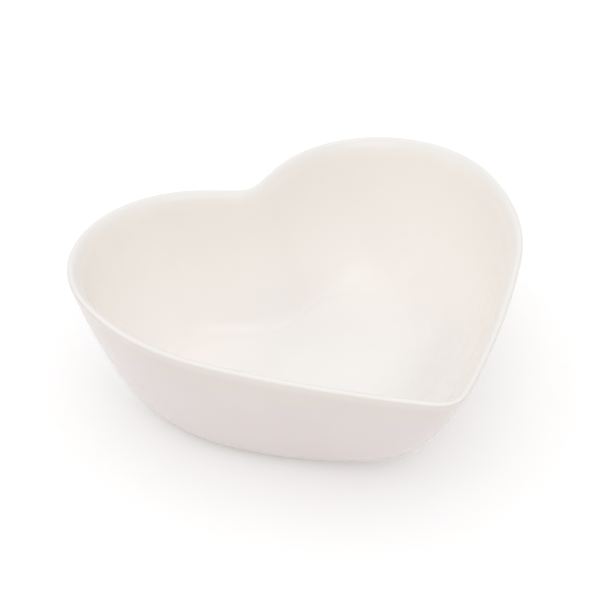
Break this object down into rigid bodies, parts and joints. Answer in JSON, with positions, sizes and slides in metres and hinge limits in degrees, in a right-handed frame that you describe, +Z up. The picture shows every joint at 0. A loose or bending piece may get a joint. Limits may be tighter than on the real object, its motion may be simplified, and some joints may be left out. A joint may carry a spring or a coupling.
{
  "type": "heart-shaped trinket dish",
  "caption": "Open heart-shaped ceramic trinket dish with flaring walls, a rounded lip and a flat foot that rests on small round rubber pads.",
  "frame": {"origin": "on the surface that the dish stands on, below the middle of its outline", "axes": "+Z up out of the open top, +Y towards the notch between the two lobes, -Y towards the pointed tip, +X across the lobes"},
  "size_m": [0.139, 0.1304, 0.049],
  "materials": {
    "glaze": "gloss",
    "pad_rubber": "matte"
  },
  "bodies": {
    "root": {"dish_body": "glaze", "base_pad_left": "pad_rubber", "base_pad_right": "pad_rubber", "base_pad_tip": "pad_rubber"}
  },
  "joints": []
}
